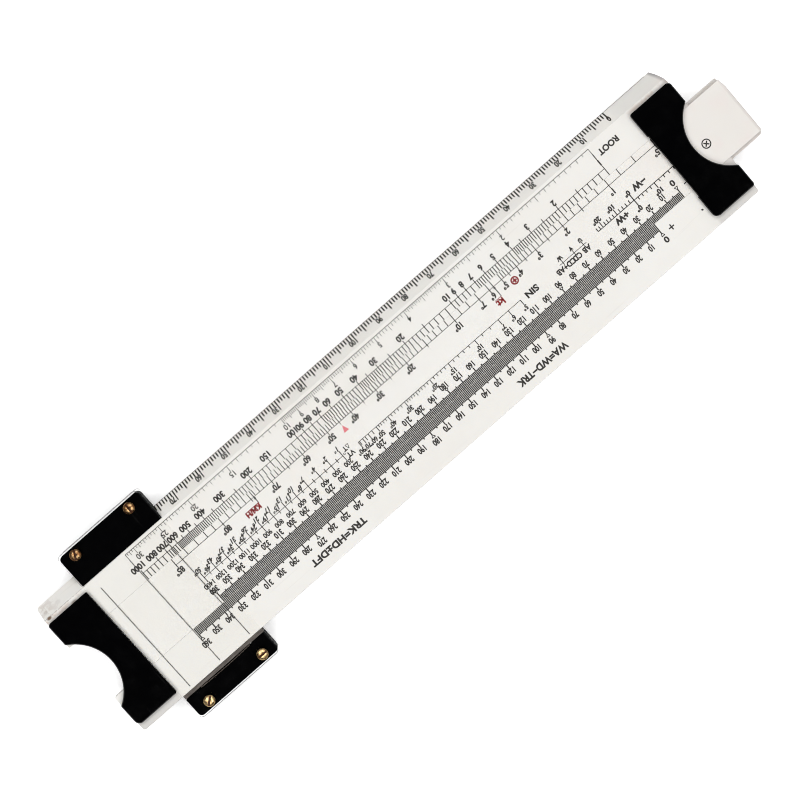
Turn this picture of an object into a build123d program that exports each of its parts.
from build123d import *
import os

# A straight duplex slide rule for air navigation: two stators held apart by
# end braces, a tongued slide running between them and a clear cursor over both
# faces. It is modelled about the centre of the stock (X along the scales,
# Y across them towards the upper stator, Z out of the front face) and then
# moved so that the origin is the centre of its footprint. Millimetres.

# ---- stock: the two stators ----
STOCK_LENGTH = 241.0
STOCK_WIDTH = 47.8
STOCK_THICK = 4.0
SEAM_UPPER = 10.8        # Y of the upper stator's inner edge
SEAM_LOWER = -8.9        # Y of the lower stator's inner edge
GROOVE_DEPTH = 1.15
GROOVE_WIDTH = 1.5
BEVEL_TOP = -19.7        # Y where the ruler bevel leaves the front face
BEVEL_EDGE_THICK = 1.0   # stock thickness left at the ruler edge
EDGE_ROUND = 0.35
STOCK_CORNER = 0.9
CORNER_TRIM_X = 1.8      # curved trim at the zero end of the ruler edge
CORNER_TRIM_Y = 7.2

# ---- slide ----
SLIDE_GAP = 0.05         # clearance between slide and each stator
SLIDE_THICK = 3.8
TONGUE_REACH = 1.0
TONGUE_THICK = 1.3
SLIDE_OUT = 12.3         # how far the slide stands out of the zero end at rest
SLIDE_CORNER = 0.85
SLIDE_WEAR_X = 0.7       # long slanted corner at the zero end
SLIDE_WEAR_Y = 4.0
SLIDE_END_ROUND = 0.25

# ---- end braces ----
LEFT_BRACE_LENGTH = 15.1   # zero end; the far one is a little shorter
RIGHT_BRACE_LENGTH = 14.85
BRACE_HEIGHT = 39.7
BRACE_CENTRE_Y = 1.68
BRACE_THICK = 1.5
BRACE_EDGE = 0.3         # chamfer round the visible face
NOTCH_RADIUS = 14.0
NOTCH_DEPTH = 6.95
NOTCH_TIP_ROUND = 0.5
WAIST_DEPTH = 0.3        # shallow relief in the left braces' inner edge
WAIST_HEIGHT = 23.2
# corner radii: outer upper, inner upper, inner lower, outer lower
LEFT_CORNERS = (0.8, 1.7, 0.8, 1.3)
RIGHT_CORNERS = (1.8, 0.6, 0.5, 1.0)

# ---- cursor ----
CURSOR_X = 90.2          # close to the last mark of the scales at rest
CURSOR_LENGTH = 30.7
CURSOR_TOP = 32.3
CURSOR_BOTTOM = -31.25
CURSOR_CORNER = 1.5
WINDOW_LIFT = 0.15       # air between the stock's face and the window
WINDOW_THICK = 1.6
WINDOW_CHAMFER = 0.3
HAIRLINE_PITCH = 11.6
HAIRLINE_WIDTH = 0.2
HAIRLINE_DEPTH = 0.1
HAIRLINE_TOP = 22.9
HAIRLINE_BOTTOMS = (-16.2, -16.7, -16.2)

# ---- cursor rails ----
RAIL_SIDE_INSET = 0.1    # the clear windows stand out past the rails
RAIL_FILM = 0.02         # glue film between each window and the rails
TOP_RAIL_TOP = 31.95
TOP_RAIL_FOOT = 25.2
POCKET_FLOOR = 25.75
POCKET_LENGTH = 20.2
BOTTOM_RAIL_BOTTOM = -30.55
BOTTOM_RAIL_GUIDE = 0.15  # clearance to the ruler edge
WEDGE_TIP = -19.9
WEDGE_LIFT = 0.12         # vertical clearance over the bevel

# ---- sprung guide bar and its spring ----
BAR_GAP = 0.05
BAR_DEPTH = 1.05
BAR_HALF_THICK = 2.0
BAR_FLOAT = 0.15
PEG_X = 13.0
PEG_RADIUS = 0.6
PEG_HOLE_RADIUS = 0.7
PEG_LENGTH = 1.5
PEG_HOLE_DEPTH = 1.6
SPRING_LENGTH = 19.0
SPRING_THICK = 0.25
SPRING_WIDTH = 3.4
SPRING_CLEAR = 0.05

# ---- screws ----
SCREW_UPPER_Y = 29.6
SCREW_LOWER_Y = -28.3
HEAD_RADIUS = 1.75
HEAD_HEIGHT = 1.0
HEAD_RIM = 0.25
SLOT_WIDTH = 0.65
SLOT_DEPTH = 0.55
SHANK_RADIUS = 0.95
SHANK_LENGTH = 3.5
RAIL_HOLE_RADIUS = 1.0
WINDOW_HOLE_RADIUS = 1.1
# name end, X from the cursor's middle (drilled by eye, so uneven), Y, slot's turn in degrees
SCREWS = (
    ("top_left", -10.7, SCREW_UPPER_Y, 0),
    ("top_right", 9.95, SCREW_UPPER_Y, 40),
    ("bottom_left", -10.25, SCREW_LOWER_Y, 90),
    ("bottom_right", 10.35, SCREW_LOWER_Y, 60),
)

# ---- worked out from the above ----
HALF_LENGTH = STOCK_LENGTH / 2
HALF_WIDTH = STOCK_WIDTH / 2
FACE = STOCK_THICK / 2
BEVEL_EDGE_Z = -FACE + BEVEL_EDGE_THICK
BEVEL_SLOPE = (FACE - BEVEL_EDGE_Z) / (HALF_WIDTH + BEVEL_TOP)
WINDOW_INNER = FACE + WINDOW_LIFT
WINDOW_OUTER = WINDOW_INNER + WINDOW_THICK
CURSOR_HEIGHT = CURSOR_TOP - CURSOR_BOTTOM
CURSOR_MIDDLE_Y = (CURSOR_TOP + CURSOR_BOTTOM) / 2
RAIL_LENGTH = CURSOR_LENGTH - 2 * RAIL_SIDE_INSET
RAIL_HALF_THICK = WINDOW_INNER - RAIL_FILM
BAR_FOOT = HALF_WIDTH + BAR_GAP
BAR_TOP = BAR_FOOT + BAR_DEPTH
CUT = 10.0               # reach of cutting bodies past what they cut
PLACE = Location((SLIDE_OUT / 2, -CURSOR_MIDDLE_Y, WINDOW_OUTER + HEAD_HEIGHT))


def bar_along_x(points, length):
    """A closed outline of (Y, Z) points, extruded along X about the middle."""
    outline = Plane.YZ * make_face(Polyline(*points, close=True))
    return extrude(outline, amount=length / 2, both=True)


def plate_between(outline, low, high):
    """A flat (X, Y) outline given thickness from one height to another."""
    return extrude(Pos(0, 0, low) * outline, amount=high - low)


def box_between(low, high):
    """A box from its lowest corner to its highest corner."""
    size = [top - bottom for bottom, top in zip(low, high)]
    middle = [(top + bottom) / 2 for bottom, top in zip(low, high)]
    return Pos(*middle) * Box(*size)


# ---- stators and slide ----
def stock_blank():
    """Whole stock seen from the front, with its four corners rounded."""
    outline = Rectangle(STOCK_LENGTH, STOCK_WIDTH)
    return plate_between(fillet(outline.vertices(), STOCK_CORNER), -CUT, CUT)


def upper_stator():
    half = GROOVE_WIDTH / 2
    floor = SEAM_UPPER + GROOVE_DEPTH
    points = [
        (SEAM_UPPER, -FACE), (HALF_WIDTH, -FACE), (HALF_WIDTH, FACE), (SEAM_UPPER, FACE),
        (SEAM_UPPER, half), (floor, half), (floor, -half), (SEAM_UPPER, -half),
    ]
    body = bar_along_x(points, STOCK_LENGTH)
    outer_edges = body.edges().filter_by(Axis.X).group_by(Axis.Y)[-1]
    return fillet(outer_edges, EDGE_ROUND) & stock_blank()


def corner_trim():
    """Cutter for the curved corner at the zero end of the ruler edge."""
    end = -HALF_LENGTH
    start_y = -HALF_WIDTH + CORNER_TRIM_Y
    curve = ThreePointArc(
        (end, start_y),
        (end + 0.22 * CORNER_TRIM_X, start_y - 0.5 * CORNER_TRIM_Y),
        (end + CORNER_TRIM_X, -HALF_WIDTH),
    )
    outside = Polyline(
        (end + CORNER_TRIM_X, -HALF_WIDTH),
        (end + CORNER_TRIM_X, -HALF_WIDTH - CUT),
        (end - CUT, -HALF_WIDTH - CUT),
        (end - CUT, start_y),
        (end, start_y),
    )
    return plate_between(make_face(curve + outside), -CUT, CUT)


def lower_stator():
    half = GROOVE_WIDTH / 2
    floor = SEAM_LOWER - GROOVE_DEPTH
    points = [
        (SEAM_LOWER, -FACE), (SEAM_LOWER, -half), (floor, -half), (floor, half),
        (SEAM_LOWER, half), (SEAM_LOWER, FACE), (BEVEL_TOP, FACE),
        (-HALF_WIDTH, BEVEL_EDGE_Z), (-HALF_WIDTH, -FACE),
    ]
    return (bar_along_x(points, STOCK_LENGTH) & stock_blank()) - corner_trim()


def slide():
    top = SEAM_UPPER - SLIDE_GAP
    bottom = SEAM_LOWER + SLIDE_GAP
    face = SLIDE_THICK / 2
    half = TONGUE_THICK / 2
    points = [
        (bottom, -face), (top, -face), (top, -half), (top + TONGUE_REACH, -half),
        (top + TONGUE_REACH, half), (top, half), (top, face), (bottom, face),
        (bottom, half), (bottom - TONGUE_REACH, half),
        (bottom - TONGUE_REACH, -half), (bottom, -half),
    ]
    body = bar_along_x(points, STOCK_LENGTH)
    end_edges = body.edges().filter_by(Axis.Y).group_by(Axis.X)
    body = chamfer(end_edges[0] + end_edges[-1], SLIDE_END_ROUND)
    body -= slide_corner(top + TONGUE_REACH, SLIDE_CORNER, -SLIDE_CORNER)
    body -= slide_corner(bottom - TONGUE_REACH, SLIDE_WEAR_X, SLIDE_WEAR_Y)
    return Pos(-SLIDE_OUT, 0, 0) * body


def slide_corner(tip_y, reach_x, reach_y):
    """Triangular cutter at the slide's zero end; reach_y points into the slide."""
    end = -HALF_LENGTH
    triangle = Polyline((end, tip_y + reach_y), (end + reach_x, tip_y),
                        (end + reach_x, tip_y - reach_y), (end - CUT, tip_y - reach_y),
                        (end - CUT, tip_y + reach_y), close=True)
    return plate_between(make_face(triangle), -CUT, CUT)


# ---- braces ----
def brace_outline(end, length, corners, waist):
    """Brace seen from the front; end is -1 for the zero end, +1 for the far end."""
    outer_upper, inner_upper, inner_lower, outer_lower = corners
    middle_x = end * (HALF_LENGTH - length / 2)
    outline = Pos(middle_x, BRACE_CENTRE_Y) * Rectangle(length, BRACE_HEIGHT)
    radii = {(1, 1): outer_upper, (-1, 1): inner_upper, (-1, -1): inner_lower, (1, -1): outer_lower}
    for (side, level), radius in radii.items():
        reach = Vector(middle_x + end * side * length / 2,
                       BRACE_CENTRE_Y + level * BRACE_HEIGHT / 2, 0)
        outline = fillet(outline.vertices().sort_by_distance(reach)[0], radius)
    notch_x = end * (HALF_LENGTH - NOTCH_DEPTH + NOTCH_RADIUS)
    outline -= Pos(notch_x, BRACE_CENTRE_Y) * Circle(NOTCH_RADIUS)
    half_chord = (NOTCH_RADIUS ** 2 - (NOTCH_RADIUS - NOTCH_DEPTH) ** 2) ** 0.5
    for level in (1, -1):
        tip = Vector(end * HALF_LENGTH, BRACE_CENTRE_Y + level * half_chord, 0)
        outline = fillet(outline.vertices().sort_by_distance(tip)[0], NOTCH_TIP_ROUND)
    if waist:
        inner_x = end * (HALF_LENGTH - length)
        outline -= Pos(inner_x, BRACE_CENTRE_Y) * Rectangle(2 * WAIST_DEPTH, WAIST_HEIGHT)
    return outline


def front_brace(end, length, corners, waist):
    body = plate_between(brace_outline(end, length, corners, waist), FACE, FACE + BRACE_THICK)
    return chamfer(body.edges().group_by(Axis.Z)[-1], BRACE_EDGE)


# ---- cursor ----
def screw_centres():
    return [(CURSOR_X + x, y) for _, x, y, _ in SCREWS]


def screw_holes(radius):
    """Cutters for the four screw positions, right through the cursor."""
    return [Pos(x, y, 0) * Cylinder(radius, 2 * CUT) for x, y in screw_centres()]


def front_window():
    outline = Rectangle(CURSOR_LENGTH, CURSOR_HEIGHT)
    outline = Pos(CURSOR_X, CURSOR_MIDDLE_Y) * fillet(outline.vertices(), CURSOR_CORNER)
    body = plate_between(outline, WINDOW_INNER, WINDOW_OUTER)
    body = chamfer(body.edges().group_by(Axis.Z)[-1], WINDOW_CHAMFER)
    body -= screw_holes(WINDOW_HOLE_RADIUS)
    for step, bottom in zip((-1, 0, 1), HAIRLINE_BOTTOMS):
        x = CURSOR_X + step * HAIRLINE_PITCH
        body -= box_between((x - HAIRLINE_WIDTH / 2, bottom, 0),
                            (x + HAIRLINE_WIDTH / 2, HAIRLINE_TOP, WINDOW_INNER + HAIRLINE_DEPTH))
    return body


def top_rail():
    half = RAIL_LENGTH / 2
    body = box_between((CURSOR_X - half, TOP_RAIL_FOOT, -RAIL_HALF_THICK),
                       (CURSOR_X + half, TOP_RAIL_TOP, RAIL_HALF_THICK))
    body = fillet(body.edges().filter_by(Axis.Z).group_by(Axis.Y)[-1], CURSOR_CORNER - RAIL_SIDE_INSET)
    body -= box_between((CURSOR_X - POCKET_LENGTH / 2, 0, -CUT),
                        (CURSOR_X + POCKET_LENGTH / 2, POCKET_FLOOR, CUT))
    for x in (CURSOR_X - PEG_X, CURSOR_X + PEG_X):
        middle_y = TOP_RAIL_FOOT + (PEG_HOLE_DEPTH - CUT) / 2
        body -= Pos(x, middle_y, 0) * Rot(90, 0, 0) * Cylinder(PEG_HOLE_RADIUS, PEG_HOLE_DEPTH + CUT)
    return body - screw_holes(RAIL_HOLE_RADIUS)


def bottom_rail():
    """Black rail under the ruler edge, with a thin wedge lying over the bevel."""
    edge_y = -HALF_WIDTH - BOTTOM_RAIL_GUIDE

    def wedge_z(y):
        return FACE + WEDGE_LIFT - (BEVEL_TOP - y) * BEVEL_SLOPE

    points = [
        (BOTTOM_RAIL_BOTTOM, -RAIL_HALF_THICK), (edge_y, -RAIL_HALF_THICK), (edge_y, wedge_z(edge_y)),
        (WEDGE_TIP, wedge_z(WEDGE_TIP)), (WEDGE_TIP, RAIL_HALF_THICK),
        (BOTTOM_RAIL_BOTTOM, RAIL_HALF_THICK),
    ]
    body = Pos(CURSOR_X, 0, 0) * bar_along_x(points, RAIL_LENGTH)
    body = fillet(body.edges().filter_by(Axis.Z).group_by(Axis.Y)[0], CURSOR_CORNER - RAIL_SIDE_INSET)
    return body - screw_holes(RAIL_HOLE_RADIUS)


def guide_bar():
    """Bar bearing on the stock's upper edge, with two pegs up into the top rail."""
    half = RAIL_LENGTH / 2
    body = box_between((CURSOR_X - half, BAR_FOOT, -BAR_HALF_THICK),
                       (CURSOR_X + half, BAR_TOP, BAR_HALF_THICK))
    for x in (CURSOR_X - PEG_X, CURSOR_X + PEG_X):
        reach = BAR_DEPTH / 2 + PEG_LENGTH
        body += Pos(x, BAR_TOP + PEG_LENGTH - reach / 2, 0) * Rot(90, 0, 0) * Cylinder(PEG_RADIUS, reach)
    return body


def leaf_spring():
    """Bowed strip between the pocket floor and the guide bar, drawn compressed."""
    foot = BAR_TOP + BAR_FLOAT + SPRING_CLEAR
    crown = POCKET_FLOOR - SPRING_CLEAR - SPRING_THICK
    left = CURSOR_X - SPRING_LENGTH / 2
    right = CURSOR_X + SPRING_LENGTH / 2
    under = ThreePointArc((left, foot), (CURSOR_X, crown), (right, foot))
    over = ThreePointArc((left, foot + SPRING_THICK), (CURSOR_X, crown + SPRING_THICK),
                         (right, foot + SPRING_THICK))
    ends = Line((left, foot), (left, foot + SPRING_THICK)) + Line((right, foot), (right, foot + SPRING_THICK))
    return plate_between(make_face(under + over + ends), -SPRING_WIDTH / 2, SPRING_WIDTH / 2)


def screw(slot_angle):
    """Round-head slotted screw, its seat at the origin and its head upwards."""
    rise = HEAD_HEIGHT - HEAD_RIM
    dome_radius = (HEAD_RADIUS ** 2 + rise ** 2) / (2 * rise)
    halfway = (HEAD_RADIUS / 2, HEAD_HEIGHT - dome_radius + (dome_radius ** 2 - HEAD_RADIUS ** 2 / 4) ** 0.5)
    dome = ThreePointArc((HEAD_RADIUS, HEAD_RIM), halfway, (0, HEAD_HEIGHT))
    stem = Polyline((0, HEAD_HEIGHT), (0, -SHANK_LENGTH), (SHANK_RADIUS, -SHANK_LENGTH),
                    (SHANK_RADIUS, 0), (HEAD_RADIUS, 0), (HEAD_RADIUS, HEAD_RIM))
    body = revolve(Plane.XZ * make_face(dome + stem), Axis.Z)
    slot = box_between((-CUT, -SLOT_WIDTH / 2, HEAD_HEIGHT - SLOT_DEPTH), (CUT, SLOT_WIDTH / 2, CUT))
    return body - Rot(0, 0, slot_angle) * slot


def turned_over(body):
    """The same piece on the back face: mirrored through the stock's mid-plane."""
    return mirror(body, about=Plane.XY)


def all_nodes():
    """Every piece by its node name, placed about the centre of the stock."""
    left = front_brace(-1, LEFT_BRACE_LENGTH, LEFT_CORNERS, True)
    right = front_brace(1, RIGHT_BRACE_LENGTH, RIGHT_CORNERS, False)
    window = front_window()
    nodes = {
        "upper_stator": upper_stator(),
        "lower_stator": lower_stator(),
        "slide": slide(),
        "left_front_brace": left,
        "left_back_brace": turned_over(left),
        "right_front_brace": right,
        "right_back_brace": turned_over(right),
        "cursor_front_window": window,
        "cursor_back_window": turned_over(window),
        "cursor_top_rail": top_rail(),
        "cursor_bottom_rail": bottom_rail(),
        "cursor_guide_bar": guide_bar(),
        "cursor_leaf_spring": leaf_spring(),
    }
    for name, x, y, angle in SCREWS:
        placed = Pos(CURSOR_X + x, y, WINDOW_OUTER) * screw(angle)
        nodes["front_screw_" + name] = placed
        nodes["back_screw_" + name] = turned_over(placed)
    return nodes


os.makedirs("parts", exist_ok=True)
for node_name, node_body in all_nodes().items():
    export_step(PLACE * node_body, "parts/" + node_name + ".step")
